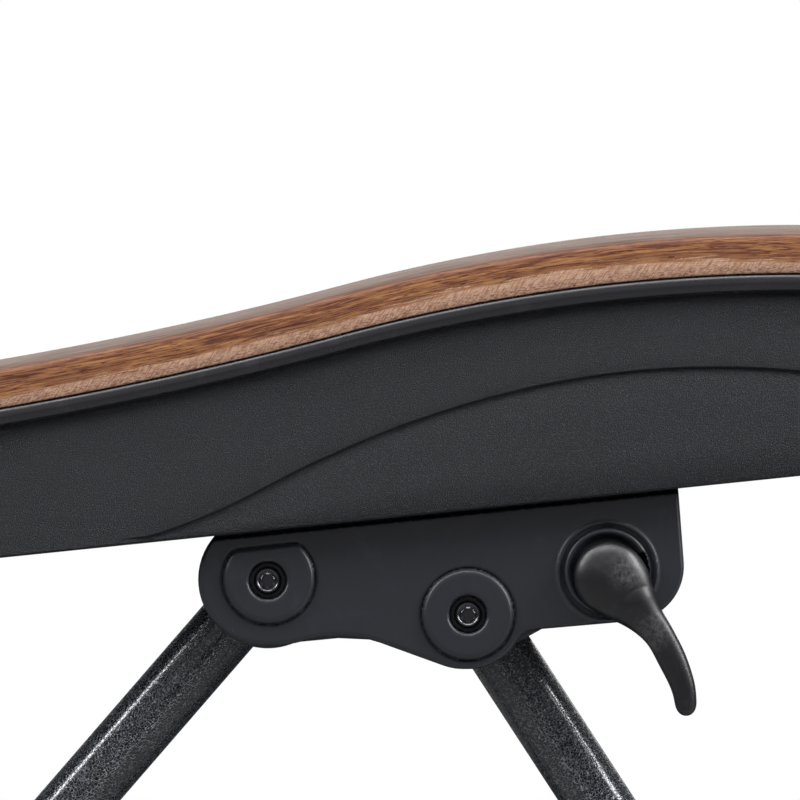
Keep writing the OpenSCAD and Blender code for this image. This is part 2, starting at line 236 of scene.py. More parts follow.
def wood_look():
    """Printed wood grain: a dark streaked band over a pale rippled one, and a duller top whose greyish tint
    is a painted reflection.
    """
    n = Look("wood_look")
    height = n.attribute("cap_v")
    x = n.split(n.place)[0]
    rise = n.math("MULTIPLY", height, CAP_H * MM)
    lean = n.math("MULTIPLY_ADD", height, -0.7 * CAP_H * MM, x)
    flat, slanted = (n.feed(n.add("ShaderNodeCombineXYZ"), along, rise) for along in (x, lean))

    def grain(scale, detail, roughness, distortion, source=flat):
        return n.noise(1, detail, roughness, n.scaled((*scale, 1), source), distortion)

    # dark band: golden wood with short dark pores
    warp = grain((14, 40), 2, 0.5, 0.4)
    streak = grain((48, 1150), 5, 0.7, 0.7)
    fine = grain((115, 2100), 3, 0.7, 0.5)
    patch = grain((42, 300), 3, 0.55, 1.0)
    dark = n.ramp(streak, (0.36, srgb(66, 33, 26)), (0.45, srgb(98, 60, 42)),
                  (0.53, srgb(126, 84, 55)), (0.66, srgb(152, 109, 71)))
    dark = n.mix(n.ramp(patch, (0.54, 0.0), (0.68, 0.5)), dark, srgb(156, 113, 73))
    dark = n.mix(n.ramp(fine, (0.39, 0.9), (0.47, 0.0)), dark, srgb(62, 29, 24))
    dark = n.mix(n.ramp(height, (0.78, 0.0), (0.96, 0.6)), dark, srgb(74, 42, 32))
    # pale band: fine ripples across the arm, purple specks low down
    ripple = grain((1500, 330), 3, 0.6, 0.4, slanted)
    pale = n.ramp(ripple, (0.32, srgb(124, 86, 71)), (0.48, srgb(161, 128, 106)),
                  (0.66, srgb(184, 152, 128)))
    speck = grain((420, 1900), 4, 0.75, 0.0)
    low = n.ramp(height, (0.08, 1.0), (0.36, 0.3))
    purple = n.math("MULTIPLY", low, n.ramp(speck, (0.42, 0.9), (0.5, 0.0)))
    pale = n.mix(purple, pale, srgb(98, 56, 56))
    # the border between the bands wanders with the grain
    drift = n.math("MULTIPLY_ADD", n.math("SUBTRACT", warp, 0.5), 0.5, height)
    edge = n.math("MULTIPLY_ADD", n.math("SUBTRACT", streak, 0.5), 0.9, drift)
    side = n.mix(n.ramp(edge, (0.33, 0.0), (0.42, 1.0)), pale, dark)
    # top, duller than the sides: brown wood with a painted reflection, a grey tint that stands in for the
    # sheen of the studio seen at a grazing angle
    dull = grain((30, 420), 5, 0.65, 0.5)
    top = n.ramp(dull, (0.35, srgb(76, 64, 58)), (0.5, srgb(89, 76, 69)), (0.68, srgb(99, 85, 78)))
    top = n.mix(n.ramp(fine, (0.36, 0.5), (0.46, 0.0)), top, srgb(66, 50, 45))
    is_top = n.math("GREATER_THAN", height, 1.08)
    n.colour(n.mix(is_top, side, top))
    n.set(n.shader, Roughness=n.ramp(is_top, (0.0, 0.4), (1.0, 0.62)),
          Specular_IOR_Level=n.ramp(is_top, (0.0, 0.25), (1.0, 0.04)))
    n.bump(n.math("ADD", n.math("MULTIPLY", ripple, 0.3), fine), 0.25, 0.0002)
    return n.material


def wall_look():
    """Moulded plastic with a leathery texture whose grains glint."""
    n = Look("arm_wall_plastic", specular=0.21)
    base = (11, 12, 18)
    grain = n.noise(2200, 3, 0.7)
    colour = n.ramp(n.noise(9, 3), (0.35, srgb(*base, tone=0.8)), (0.65, srgb(*base)))
    n.colour(n.mix(n.ramp(grain, (0.55, 0.0), (0.75, 0.8)), colour, srgb(66, 72, 86)))
    n.set(n.shader, Roughness=n.ramp(grain, (0.3, 0.58), (0.7, 0.36)))
    n.bump(grain, 0.7, 0.0009)
    return n.material


def satin_plastic(name, base, roughness, scuffs, rubbed_and_highlit=()):
    """Smooth moulded plastic with pale specks and soft scuffs, and pale patches at the given places that
    are partly rubbing and partly a painted highlight.
    """
    n = Look(name, specular=0.36)
    cloud = n.noise(60, 4, 0.65)
    colour = n.ramp(cloud, (0.3, srgb(*base, tone=0.9)), (0.7, srgb(*base)))
    colour = n.mix(n.ramp(cloud, (0.56, 0.0), (0.72, scuffs)), colour, srgb(118, 118, 122))
    rub_and_highlight = n.ramp(n.noise(520, 5, 0.75), (0.38, 0.0), (0.70, 0.30))
    x, _, z = n.split(n.place)
    # pale patches round each given place: partly rubbing, partly a painted highlight
    for (spot_x, spot_z), reach in rubbed_and_highlit:
        squares = [n.math("POWER", n.math("SUBTRACT", axis, float(at * MM)), 2.0)
                   for axis, at in ((x, spot_x), (z, spot_z))]
        gap = n.math("SQRT", n.math("ADD", *squares))
        near = n.ramp(n.math("DIVIDE", gap, reach * MM), (0.3, 1.0), (1.0, 0.0))
        colour = n.mix(n.math("MULTIPLY", rub_and_highlight, near), colour, srgb(128, 128, 134))
    dust = n.ramp(n.noise(1500, 2, 0.8), (0.73, 0.0), (0.80, 0.6))
    n.colour(n.mix(dust, colour, srgb(120, 125, 132)))
    n.set(n.shader, Roughness=n.ramp(cloud, (0.3, roughness + 0.06), (0.7, roughness - 0.05)))
    n.bump(n.noise(1100, 3, 0.6), 0.35, 0.0001)
    return n.material


def hammertone():
    """Black paint with a fine net of silver, and painted shade that darkens the silver towards the tube's
    edges as seen from the view.
    """
    n = Look("hammertone_paint")
    shift = (0.0016,) * 3
    bend = n.add("ShaderNodeVectorMath", operation="MULTIPLY_ADD")
    bent = n.feed(bend, n.noise(700, 2, 0.6), shift, n.place)
    net = n.cells(900, bent, "DISTANCE_TO_EDGE")
    lines = n.ramp(net, (0.04, 1.0), (0.12, 0.0))
    # painted shade: the silver is darkened where the surface turns away from the view, in place of dark
    # reflections at the tube's edges
    facing = n.set(n.add("ShaderNodeLayerWeight"), Blend=0.4).outputs["Facing"]
    painted_edge_shade = n.ramp(facing, (0.2, 1.0), (0.75, 0.08))
    gaps = n.ramp(n.noise(900, 2, 0.6), (0.42, 0.1), (0.56, 1.0))
    silver = n.math("MULTIPLY", lines, n.math("MULTIPLY", painted_edge_shade, gaps))
    n.colour(n.mix(silver, srgb(5, 6, 9), srgb(104, 108, 116)))
    n.set(n.shader, Metallic=n.math("MULTIPLY", silver, 0.85),
          Roughness=n.ramp(lines, (0.0, 0.16), (1.0, 0.34)))
    n.bump(lines, 1.0, 0.0004)
    return n.material


def metal(name, base, roughness, metallic=1.0):
    """Plated or painted steel with fine brushing and faint stains."""
    n = Look(name, metallic=metallic)
    brush = n.noise(1, 3, 0.6, n.scaled((200, 1800, 200)))
    n.colour(n.ramp(n.noise(70, 4, 0.6), (0.3, srgb(*base, tone=0.82)), (0.7, srgb(*base))))
    n.set(n.shader, Roughness=n.ramp(brush, (0.3, roughness + 0.08), (0.7, roughness - 0.06)))
    n.bump(brush, 0.1, 0.00005)
    return n.material


def rubber():
    """Matt rubber with a fine grit."""
    n = Look("rubber", roughness=0.75, specular=0.3)
    grit = n.noise(700, 4, 0.7)
    n.colour(n.ramp(grit, (0.35, srgb(26, 26, 27)), (0.7, srgb(46, 46, 48))))
    n.bump(grit, 0.3, 0.0002)
    return n.material


# Places on the lever that are painted pale, each with its reach: partly where hands have rubbed it, partly
# a painted highlight on the hub and the handle.
WORN_AND_HIGHLIT = [(ORIGIN + LOCK + [7, 1], 9), (ORIGIN + LOCK + [17, -22], 9)]
WOOD = wood_look()
WALL = wall_look()
LIP = satin_plastic("lip_plastic", (30, 30, 34), 0.28, 0.05)
SATIN = satin_plastic("bracket_plastic", (31, 32, 38), 0.42, 0.03)
LEVER = satin_plastic("lever_plastic", (15, 15, 19), 0.4, 0.08, WORN_AND_HIGHLIT)
PAINT = hammertone()
BLACK_STEEL = metal("black_screw_steel", (74, 74, 79), 0.26, 0.9)
ZINC = metal("zinc_plated_steel", (140, 142, 146), 0.34)
PLATE = metal("coated_plate_steel", (60, 61, 64), 0.42, 0.3)
RUBBER = rubber()

# ---------------- mesh helpers


def piece(name, verts, faces, material, body, slot, replaces=(), sharp=35, side=1):
    """A mesh piece from millimetres: x and z from the rear leg's screw, y from the mid plane."""
    v = np.array(verts, float)
    v = np.column_stack([v[:, 0] + ORIGIN[0], v[:, 1] * side, v[:, 2] + ORIGIN[1]]) * MM
    mesh = bpy.data.meshes.new(name)
    mesh.from_pydata(v.tolist(), [], [tuple(int(i) for i in f) for f in faces])
    bm = bmesh.new()
    bm.from_mesh(mesh)
    bmesh.ops.recalc_face_normals(bm, faces=bm.faces)
    bm.to_mesh(mesh)
    bm.free()
    mesh.shade_smooth()
    mesh.set_sharp_from_angle(angle=math.radians(sharp))
    mesh.materials.append(material)
    obj = bpy.data.objects.new(name, mesh)
    bpy.context.scene.collection.objects.link(obj)
    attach(obj, body)
    if replaces:
        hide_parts(*replaces)
    return obj


def store(obj, name, values):
    """Keeps one number for each vertex, for the material to read."""
    attribute = obj.data.attributes.new(name, "FLOAT", "POINT")
    attribute.data.foreach_set("value", np.asarray(values, np.float32))


def ring_faces(rings, size, looped=False):
    """Quads between rings of vertices that follow one another; looped joins the last to the first."""
    faces = []
    for i in range(rings if looped else rings - 1):
        j = (i + 1) % rings
        for k in range(size):
            m = (k + 1) % size
            faces.append((i * size + k, i * size + m, j * size + m, j * size + k))
    return faces


def closed_faces(rings, size):
    """The faces of a row of rings with both ends closed."""
    ends = [list(range(size)), list(range((rings - 1) * size, rings * size))]
    return ring_faces(rings, size) + ends


def shell_faces(rows, cols):
    """The faces of a shell: two grids of vertices, one after the other, joined along their rim."""
    n = rows * cols
    faces = []
    for i in range(rows - 1):
        for k in range(cols - 1):
            a = i * cols + k
            faces.append((a, a + 1, a + cols + 1, a + cols))
            faces.append((a + n, a + cols + n, a + cols + 1 + n, a + 1 + n))
    rim = list(range(cols)) + [i * cols + cols - 1 for i in range(1, rows)]
    rim += [(rows - 1) * cols + k for k in range(cols - 2, -1, -1)]
    rim += [i * cols for i in range(rows - 2, 0, -1)]
    for a, b in zip(rim, rim[1:] + rim[:1]):
        faces.append((a, a + n, b + n, b))
    return faces


def merge(parts):
    """One mesh from several pairs of vertices and faces."""
    verts, faces = [], []
    for v, f in parts:
        faces += [[i + len(verts) for i in face] for face in f]
        verts += list(v)
    return verts, faces


def fillet(before, corner, after, radius, step=6):
    """Points on the arc that rounds a corner between two straight lines, in 2D or 3D."""
    a, b = unit(before - corner), unit(after - corner)
    half = math.acos(np.clip(a @ b, -1, 1)) / 2
    centre = corner + unit(a + b) * radius / math.sin(half)
    start, stop = (corner + way * radius / math.tan(half) for way in (a, b))
    turn = math.pi - 2 * half
    u, w = (start - centre) / radius, (stop - centre) / radius
    v = (w - u * math.cos(turn)) / math.sin(turn)
    angles = np.linspace(0, turn, max(3, int(math.degrees(turn) / step) + 1))
    return [centre + radius * (u * math.cos(t) + v * math.sin(t)) for t in angles]


def rounded(corners):
    """A closed outline from corners (x, z, radius), each rounded by an arc of its radius."""
    points = [np.array(c[:2], float) for c in corners]
    outline = []
    for i, (_, _, radius) in enumerate(corners):
        if radius:
            outline += fillet(points[i - 1], points[i], points[(i + 1) % len(points)], radius)
        else:
            outline.append(points[i])
    return np.array(outline)


def arc_path(points, radii):
    """A line through points with each inner corner rounded to its radius."""
    points = [np.array(p, float) for p in points]
    path = [points[0]]
    for i, radius in enumerate(radii, 1):
        path += fillet(points[i - 1], points[i], points[i + 1], radius)
    return np.array(path + [points[-1]])


def signed_distance(points, outline):
    """Distance from each point to a closed outline, negative inside it."""
    a, b = outline, np.roll(outline, -1, axis=0)
    best = np.full(len(points), np.inf)
    inside = np.zeros(len(points), bool)
    for p, q in zip(a, b):
        d = q - p
        square = d @ d
        if square < 1e-12:
            continue
        t = np.clip((points - p) @ d / square, 0, 1)
        best = np.minimum(best, length(points - p - t[:, None] * d))
        crosses = (p[1] > points[:, 1]) != (q[1] > points[:, 1])
        x = p[0] + (points[:, 1] - p[1]) / (d[1] if d[1] else 1e-12) * d[0]
        inside ^= crosses & (points[:, 0] < x)
    return np.where(inside, -best, best)


def relief(distance, low, high, cell, front, back):
    """A plate cut to a signed distance field, with its front and back faces raised by functions.

    front and back take points and their depth inside the outline, and give y.
    """
    xs = np.arange(low[0], high[0] + cell, cell)
    zs = np.arange(low[1], high[1] + cell, cell)
    grid = np.array([(x, z) for x in xs for z in zs])
    nz = len(zs)
    cells = np.array([(i * nz + k, (i + 1) * nz + k, (i + 1) * nz + k + 1, i * nz + k + 1)
                      for i in range(len(xs) - 1) for k in range(nz - 1)])
    cells = cells[distance(grid[cells].mean(axis=1)) < 0]
    uses = {}
    for quad in cells:
        for a, b in zip(quad, np.roll(quad, -1)):
            key = (min(a, b), max(a, b))
            uses[key] = None if key in uses else (a, b)
    rim = [edge for edge in uses.values() if edge]
    on_rim = np.unique(np.array(rim))
    for _ in range(3):
        p = grid[on_rim]
        d = distance(p)
        e = 0.02
        slope = np.column_stack([distance(p + [e, 0]) - d, distance(p + [0, e]) - d]) / e
        norm = np.maximum(length(slope), 1e-6)[:, None]
        grid[on_rim] = p - (slope / norm) * d[:, None]
    used = np.unique(cells)
    index = {v: i for i, v in enumerate(used)}
    points = grid[used]
    depth = np.maximum(-distance(points), 0)
    verts = [(p[0], y, p[1]) for face in (front, back) for p, y in zip(points, face(points, depth))]
    n = len(used)
    faces = []
    for quad in cells:
        q = [index[v] for v in quad]
        faces.append(q)
        faces.append([v + n for v in reversed(q)])
    for a, b in rim:
        a, b = index[a], index[b]
        faces.append([b, a, a + n, b + n])
    return verts, faces


def rolled_edge(depth, radius):
    """How far a face drops near its edge when the edge is rounded to a radius."""
    reach = np.minimum(depth, radius)
    return radius - np.sqrt(np.maximum(radius ** 2 - (radius - reach) ** 2, 0))


def lathe(profile, centre, segments=64):
    """A solid turned about an axis along Y from (radius, y) pairs; a radius may be a function of angle."""
    verts = []
    for r, y in profile:
        for k in range(segments):
            angle = 2 * math.pi * k / segments
            reach = r(angle) if callable(r) else r
            verts.append((centre[0] + reach * math.cos(angle), y, centre[1] + reach * math.sin(angle)))
    return verts, closed_faces(len(profile), segments)


# ---------------- armrest


END_R = 14
# The cap's side from its foot up: how far it draws in from the widest place, and its height.
CAP_SIDE = [(0.9, 0.0), (0.25, 0.25), (0.0, 1.0), (0.0, 5.0), (0.0, 9.5), (0.1, 12.6), (0.45, 13.8),
            (1.1, 14.5), (2.0, 14.95)]
# The rolled lip and the hollow under it: distance from the arm's middle, and height over the border.
LIP_SIDE = [(28.6, 0.2), (29.5, -0.1), (30.3, -0.8), (30.9, -1.9), (31.15, -3.3), (31.0, -4.8),
            (30.4, -6.0), (29.5, -6.7), (28.5, -6.95), (27.7, -7.1), (27.2, -7.7), (27.5, -8.6)]


def arm_stations(step=3.2):
    """Places along the arm, closer together near both ends."""
    near = END_R * (1 - np.cos(np.linspace(0, math.pi / 2, 9)))
    middle = np.arange(ARM_REAR + END_R + step, ARM_FRONT - END_R, step)
    return np.concatenate([ARM_REAR + near, middle, ARM_FRONT - near[::-1]])


def end_inset(x):
    """How far the arm's sides draw in near its rounded ends."""
    return float(rolled_edge(min(x - ARM_REAR, ARM_FRONT - x), END_R))


def arm_cap(name, side):
    """The wood-look cap, a little crowned across the arm."""
    half, crown = 30.8, 3.6
    edge = [(half - inset, dz) for inset, dz in CAP_SIDE]
    across = np.linspace(half - 4, -(half - 4), 27)
    ring = edge + [(dy, CAP_H + 0.3 + crown * (1 - (dy / (half - 1)) ** 2)) for dy in across]
    ring += [(-dy, dz) for dy, dz in reversed(edge)]
    xs = arm_stations()
    verts, height = [], []
    for x in xs:
        inset = end_inset(x)
        scale = (half - inset) / half
        for dy, dz in ring:
            verts.append((x, ARM_Y + dy * scale, border(x) + dz - 0.12 * inset * (dz / CAP_H)))
            height.append(dz / CAP_H if abs(dy) > half - 1.8 else 1 + (half - dy) / CAP_H)
    cap = piece("arm_cap_shell_" + name, verts, closed_faces(len(xs), len(ring)), WOOD, "arm_" + name,
                "arm_cap", ["arm_cap_" + name], sharp=50, side=side)
    store(cap, "cap_v", height)


def arm_ring(x):
    """The arm body's outer side at x, from the lip down, as (distance from its middle, z)."""
    b, m = float(border(x)), arm_bottom(x)
    fade = float(smooth((x + 56) / 14))
    s = min(max(float(step_line(x)), m + 2.2), b - 12)
    wall, top = 27.8, b - 9.4
    low = wall - 0.85 * fade
    outer = [(dy, b + dz) for dy, dz in LIP_SIDE] + [(wall, top)]
    outer += [(wall, top + (s + 0.7 - top) * t) for t in (0.25, 0.5, 0.75, 1.0)]
    outer += [(wall - 0.06 * fade, s + 0.4), (wall - 0.35 * fade, s + 0.15),
              (low - 0.1 * fade, s - 0.1), (low - 0.12 * fade, s - 0.5), (low, s - 1.0)]
    outer += [(low, s - 1.0 + (m + 0.9 - s + 1.0) * t) for t in (0.33, 0.66, 1.0)]
    return outer + [(low - 0.3, m + 0.25), (low - 0.9, m), (24.9, m), (24.4, m + 0.3), (24.2, m + 0.9)]


def arm_body(name, side):
    """The hollow arm body: closed at its ends, open below between them."""
    ceiling, end_wall, lip_depth = 12, 3, 7.0
    xs = arm_stations()
    verts, lip = [], []
    for x in xs:
        inset = end_inset(x)
        b = float(border(x))
        solid = x < ARM_REAR + end_wall or x > ARM_FRONT - end_wall
        roof = arm_bottom(x) + 1.5 if solid else b - ceiling
        half = arm_ring(x) + [(24.2, roof), (12, roof)]
        ring = half + [(-dy, z) for dy, z in reversed(half)]
        for dy, z in ring:
            verts.append((x, ARM_Y + dy - math.copysign(min(inset, abs(dy)), dy), z))
            lip.append(z > b - lip_depth)
    body = piece("arm_shell_" + name, verts, closed_faces(len(xs), len(ring)), WALL, "arm_" + name,
                 "arm_body", ["arm_body_" + name], sharp=40, side=side)
    body.data.materials.append(LIP)
    for face in body.data.polygons:
        if all(lip[v] for v in face.vertices):
            face.material_index = 1
    arm_ear(name, side)


def arm_ear(name, side):
    """The lug at the arm's rear that carries the back frame's pivot."""
    x, z = ARM_PIVOT
    outline = rounded([(x - 16, z - 16, 15.5), (x + 16, z - 16, 15.5), (x + 24, z + 44, 3),
                       (x - 14, z + 44, 3)])
    hole_r, edge, cell = 4.1, 0.8, 1.2

    def distance(p):
        return np.maximum(signed_distance(p, outline), hole_r - length(p - ARM_PIVOT))

    low, high = outline.min(axis=0) - cell, outline.max(axis=0) + cell
    verts, faces = relief(distance, low, high, cell, lambda p, d: ARM_Y - 19 - rolled_edge(d, edge),
                          lambda p, d: ARM_Y - 29 + rolled_edge(d, edge))
    piece("arm_ear_" + name, verts, faces, SATIN, "arm_" + name, "arm_body", side=side)

# ---------------- lock bracket

BRACKET = rounded([
    (155.4, 56, 0), (160.7, -13.7, 21), (97.6, -19.2, 9), (89.4, -33.9, 20.8), (70.8, -33.9, 22),
    (36, -21.3, 40), (19, -21.6, 30), (7.5, -24.9, 30), (-26.6, -24.9, 25.4), (-26.6, 9, 25),
    (-8, 33, 6), (80, 44, 40)])
BRACKET_LOW, BRACKET_HIGH = BRACKET.min(axis=0) - 1, BRACKET.max(axis=0) + 1
# Planes across the chair, in millimetres from its middle.
COVER_Y, COVER_BACK_Y = 335.4, 330.6
INNER_Y, INNER_BACK_Y = 295.2, 299.3
HEAD_Y, NUT_Y, NUT_SEAT_Y = 332.6, 292.4, 297.0
LEVER_Y, LEVER_BACK_Y = 336.4, 335.6
PAD_R, RECESS_R = 17.5, 7.5
# Radius and height of the double ring round the lever's hub, from its floor outwards.
LOCK_RING = [(12.8, -2.8), (13.4, -2.2), (13.9, -0.9), (14.4, 0.2), (14.9, 0.8), (15.4, 1.0), (15.9, 0.85),
             (16.4, 0.2), (16.9, -0.6), (17.4, -0.9), (17.9, -0.4), (18.4, 0.55), (18.8, 0.9), (19.2, 0.75),
             (19.7, 0.25), (20.2, 0)]


def bracket_distance(points):
    return signed_distance(points, BRACKET)


def pad(depth, height=1.5, edge=2.6, groove=0.9):
    """A raised pad: height inside its outline, a soft edge, and a fine groove round its foot."""
    rise = height * np.sqrt(np.clip(1 - (1 - np.clip(depth / edge, 0, 1)) ** 2, 0, 1))
    return rise - groove * np.exp(-((depth + 0.1) / 0.6) ** 2)


def screw_pad(y, points, centre, shift, flat_top):
    """Adds a screw's pad to the cover, with the recess for its head; one pad is cut flat under the arm."""
    reach = length(points - centre)
    inside = PAD_R - length(points - centre - shift)
    if flat_top:
        top = 12.9 + 0.112 * points[:, 0] - points[:, 1]
        blend = 1.9
        inside = -np.log(np.exp(-inside * blend) + np.exp(-top * blend)) / blend
    y = y + pad(inside)
    y = y - 0.35 * smooth((RECESS_R + 1.1 - reach) / 1.2)
    floor = COVER_Y + 1.2 - 4.6 * smooth((RECESS_R - reach) / 0.7)
    return np.where(reach < RECESS_R, np.minimum(y, floor), y)


def cover_front(points, depth):
    """The outer face of the bracket cover."""
    y = COVER_Y - rolled_edge(depth, 1.8)
    y = screw_pad(y, points, REAR_LEG, [0.5, 0.7], True)
    y = screw_pad(y, points, FRONT_LEG, [0, 0], False)
    offset = points - (LOCK + [0, 0.9])
    ring = length(offset)
    radii, rise = zip(*LOCK_RING)
    y = y + np.interp(ring, radii, rise)
    # the slot that shows to the right of the hub
    turn = np.degrees(np.arctan2(offset[:, 1], offset[:, 0]))
    y = y - 3.5 * smooth((1.3 - np.abs(ring - 14.6)) / 0.5) * smooth((20 - np.abs(turn - 10)) / 4)
    # the step down to the part that goes under the arm
    under = points[:, 1] - arm_bottom(points[:, 0]) + 1.9
    return y - 2.6 * smooth(under / 1.3)


def inner_face(points, depth):
    """The inner shell's outer face, with low bosses round the bolts and seats for the nuts."""
    y = INNER_Y + rolled_edge(depth, 1.6)
    for centre in (REAR_LEG, FRONT_LEG, LOCK):
        y = y - 0.9 * smooth((15 - length(points - centre)) / 2)
    for centre in (REAR_LEG, FRONT_LEG):
        y = np.where(length(points - centre) < 7.3, NUT_SEAT_Y, y)
    return y


def bracket(name, side):
    """Both moulded shells of a lock bracket."""
    verts, faces = relief(bracket_distance, BRACKET_LOW, BRACKET_HIGH, 0.55, cover_front,
                          lambda p, d: np.full(len(p), COVER_BACK_Y))
    piece("bracket_shell_" + name, verts, faces, SATIN, "brackets", "bracket",
          ["bracket_cover_" + name], sharp=60, side=side)
    verts, faces = relief(bracket_distance, BRACKET_LOW, BRACKET_HIGH, 1.3,
                          lambda p, d: np.full(len(p), INNER_BACK_Y), inner_face)
    piece("bracket_inner_shell_" + name, verts, faces, SATIN, "brackets", "bracket",
          ["bracket_inner_" + name], sharp=60, side=side)


def hexagon(apothem):
    """The reach of a hexagon at an angle."""
    sector = math.pi / 3
    return lambda angle: apothem / math.cos((angle % sector) - sector / 2)


def button_screw(centre):
    """A button head cap screw with a hexagon socket, and its nut behind."""
    shank_r, socket = 3.0, hexagon(2.05)
    crown = [(5.2, -0.2), (5.35, 0.0), (5.35, 0.9), (5.15, 1.6), (4.75, 2.3), (4.4, 2.7), (4.1, 2.8),
             (3.8, 2.65), (3.45, 2.25), (3.1, 2.15), (2.8, 2.35)]
    head = [(shank_r, NUT_Y + 0.1), (shank_r, HEAD_Y - 0.2)] + [(r, HEAD_Y + rise) for r, rise in crown]
    head += [(lambda a: socket(a) + 0.35, HEAD_Y + 2.6), (lambda a: socket(a) + 0.1, HEAD_Y + 2.6),
             (socket, HEAD_Y + 2.3), (socket, HEAD_Y + 0.8)]
    nut = hexagon(5.0)
    return merge([lathe(head, centre), lathe([(nut, NUT_Y), (nut, NUT_Y + 3.6)], centre, 48)])


def leg_screws(name, side):
    verts, faces = merge([button_screw(centre) for centre in (REAR_LEG, FRONT_LEG)])
    piece("leg_screws_" + name, verts, faces, BLACK_STEEL, "brackets", "black_screws",
          ["leg_bolts_" + name], sharp=30, side=side)


def lever_spine():
    """Centres and half widths along the lock lever, from its hub to its tip."""
    knots = [((0.4, -1.1), 13.7), ((4.0, -4.6), 12.2), ((9.0, -10.4), 9.0), ((14.1, -16.4), 6.6),
             ((19.6, -23.2), 5.5), ((24.7, -32.8), 5.35), ((28.8, -43.0), 4.5), ((30.0, -51.0), 3.75)]
    places = np.array([(x, z, r) for (x, z), r in knots])
    t = np.linspace(0, len(knots) - 1, 120)
    k = np.clip(t.astype(int), 0, len(knots) - 2)
    f = (t - k)[:, None]
    p0, p1, p2, p3 = (places[np.clip(k + o, 0, len(knots) - 1)] for o in (-1, 0, 1, 2))
    spline = 0.5 * (2 * p1 + (p2 - p0) * f + (2 * p0 - 5 * p1 + 4 * p2 - p3) * f ** 2
                    + (3 * p1 - p0 - 3 * p2 + p3) * f ** 3)
    return LOCK + spline[:, :2], spline[:, 2]


def lever(name, side):
    """The lock lever: a domed hub that runs out into a curved handle."""
    centres, radii = lever_spine()
    fullness = np.where(radii > 9, 0.55, 0.72)
    blend, hub_reach = 1.6, 22

    def distance(p):
        reach = length(p[:, None] - centres[None]) - radii
        return -np.log(np.exp(-blend * reach).sum(axis=1) / 6) / blend

    def front(p, depth):
        gap = length(p[:, None] - centres[None])
        swell = np.sqrt(np.maximum((radii + 0.6) ** 2 - gap ** 2, 0)) * fullness
        return LEVER_Y + swell.max(axis=1) - rolled_edge(depth, 1.0)

    def back(p, depth):
        handle = length(p - LOCK) > hub_reach
        return LEVER_BACK_Y - np.minimum(depth, 1.5) * 0.6 * handle

    low, high = centres.min(axis=0) - 15, centres.max(axis=0) + 15
    verts, faces = relief(distance, low, high, 0.5, front, back)
    piece("lever_arm_" + name, verts, faces, LEVER, "lever_" + name, "lever",
          ["lock_lever_" + name], sharp=60, side=side)


for side_name, side_sign in SIDES.items():
    for build in (arm_cap, arm_body, bracket, leg_screws, lever):
        build(side_name, side_sign)

# ---------------- tubes


def tube_mesh(path, radius, segments=40, inner=None):
    """A round tube along a path; with an inner radius its ends are open."""
    tangents = np.gradient(path, axis=0)
    tangents[0], tangents[-1] = path[1] - path[0], path[-1] - path[-2]
    tangents = unit(tangents)
    normal = np.cross(tangents[0], [0.0, 1.0, 0.0])
    if length(normal) < 0.1:
        normal = np.cross(tangents[0], [1.0, 0.0, 0.0])
    places = []
    for p, t in zip(path, tangents):
        normal = unit(normal - t * (normal @ t))
        places.append((p, normal, np.cross(t, normal)))
    angles = np.linspace(0, 2 * math.pi, segments, endpoint=False)

    def loop(place, r):
        p, n, o = place
        return [tuple(p + r * (math.cos(a) * n + math.sin(a) * o)) for a in angles]

    verts = [v for place in places for v in loop(place, radius)]
    if inner is None:
        return verts, closed_faces(len(places), segments)
    verts += [v for place in reversed(places) for v in loop(place, inner)]
    return verts, ring_faces(2 * len(places), segments, looped=True)


def tube(name, points, radii, body, replaces):
    """A bent frame tube with open ends."""
    wall = 1.2
    verts, faces = tube_mesh(arc_path(points, radii), TUBE_R, inner=TUBE_R - wall)
    piece(name, verts, faces, PAINT, body, "tube", replaces)


BAR_Z = 14 - ORIGIN[1]  # the floor bars' middle line, 14 mm above the floor
LEG_Y, RAIL_Y, BEND = 315.0, 266.0, 60.0


def leg_foot(top, splay):
    """Where a leg that hangs from its screw, splayed by an angle, meets the floor bar's middle."""
    return top + polar(270 + splay, (top[1] - BAR_Z) / math.cos(math.radians(splay)))


def u_frame(name, top, foot, body, replaces):
    """A leg frame: one tube down one side, across the floor and up the other."""
    start = top - 15 * unit(foot - top)
    points = [(p[0], y, p[1]) for p, y in ((start, -LEG_Y), (foot, -LEG_Y), (foot, LEG_Y), (start, LEG_Y))]
    tube(name, points, [BEND, BEND], body, replaces)


# the front tube's middle line passes 3 mm ahead of its screw
u_frame("front_leg_frame", FRONT_LEG + [3, 0], leg_foot(FRONT_LEG, 33.3), "front_legs",
        pairs("front_leg") + ["front_base_bar"])
u_frame("rear_leg_frame", REAR_LEG, leg_foot(REAR_LEG, -40.9), "rear_legs",
        pairs("rear_leg") + ["rear_base_bar"])

# ---------------- back and seat frames

stud_low, stud_high = (np.array(corner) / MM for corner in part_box("seat_studs"))
SEAT_PIVOT = ((stud_low + stud_high) / 2)[[0, 2]] - ORIGIN
BACK_ANGLE, UPPER_ANGLE, CALF_ANGLE = 123.3, 113.3, -48.0
LUMBAR = HIP + polar(BACK_ANGLE, 230)
BACK_TOP = LUMBAR + polar(UPPER_ANGLE, 620)
SEAT_REAR = HIP - [0, 20]
seat_rise = SEAT_PIVOT + [0, 28] - SEAT_REAR
SEAT_ANGLE = math.degrees(math.atan2(seat_rise[1], seat_rise[0]))
KNEE = SEAT_REAR + polar(SEAT_ANGLE, 470)
CALF_END = KNEE + polar(CALF_ANGLE, 390)


def loop_frame(name, profile, radii, body, replaces):
    """A frame of one bent tube: down one side's profile, across, and back up the other."""
    right = [(p[0], -RAIL_Y, p[1]) for p in profile]
    left = [(p[0], RAIL_Y, p[1]) for p in reversed(profile)]
    tube(name, right + left, radii + [BEND, BEND] + radii[::-1], body, replaces)


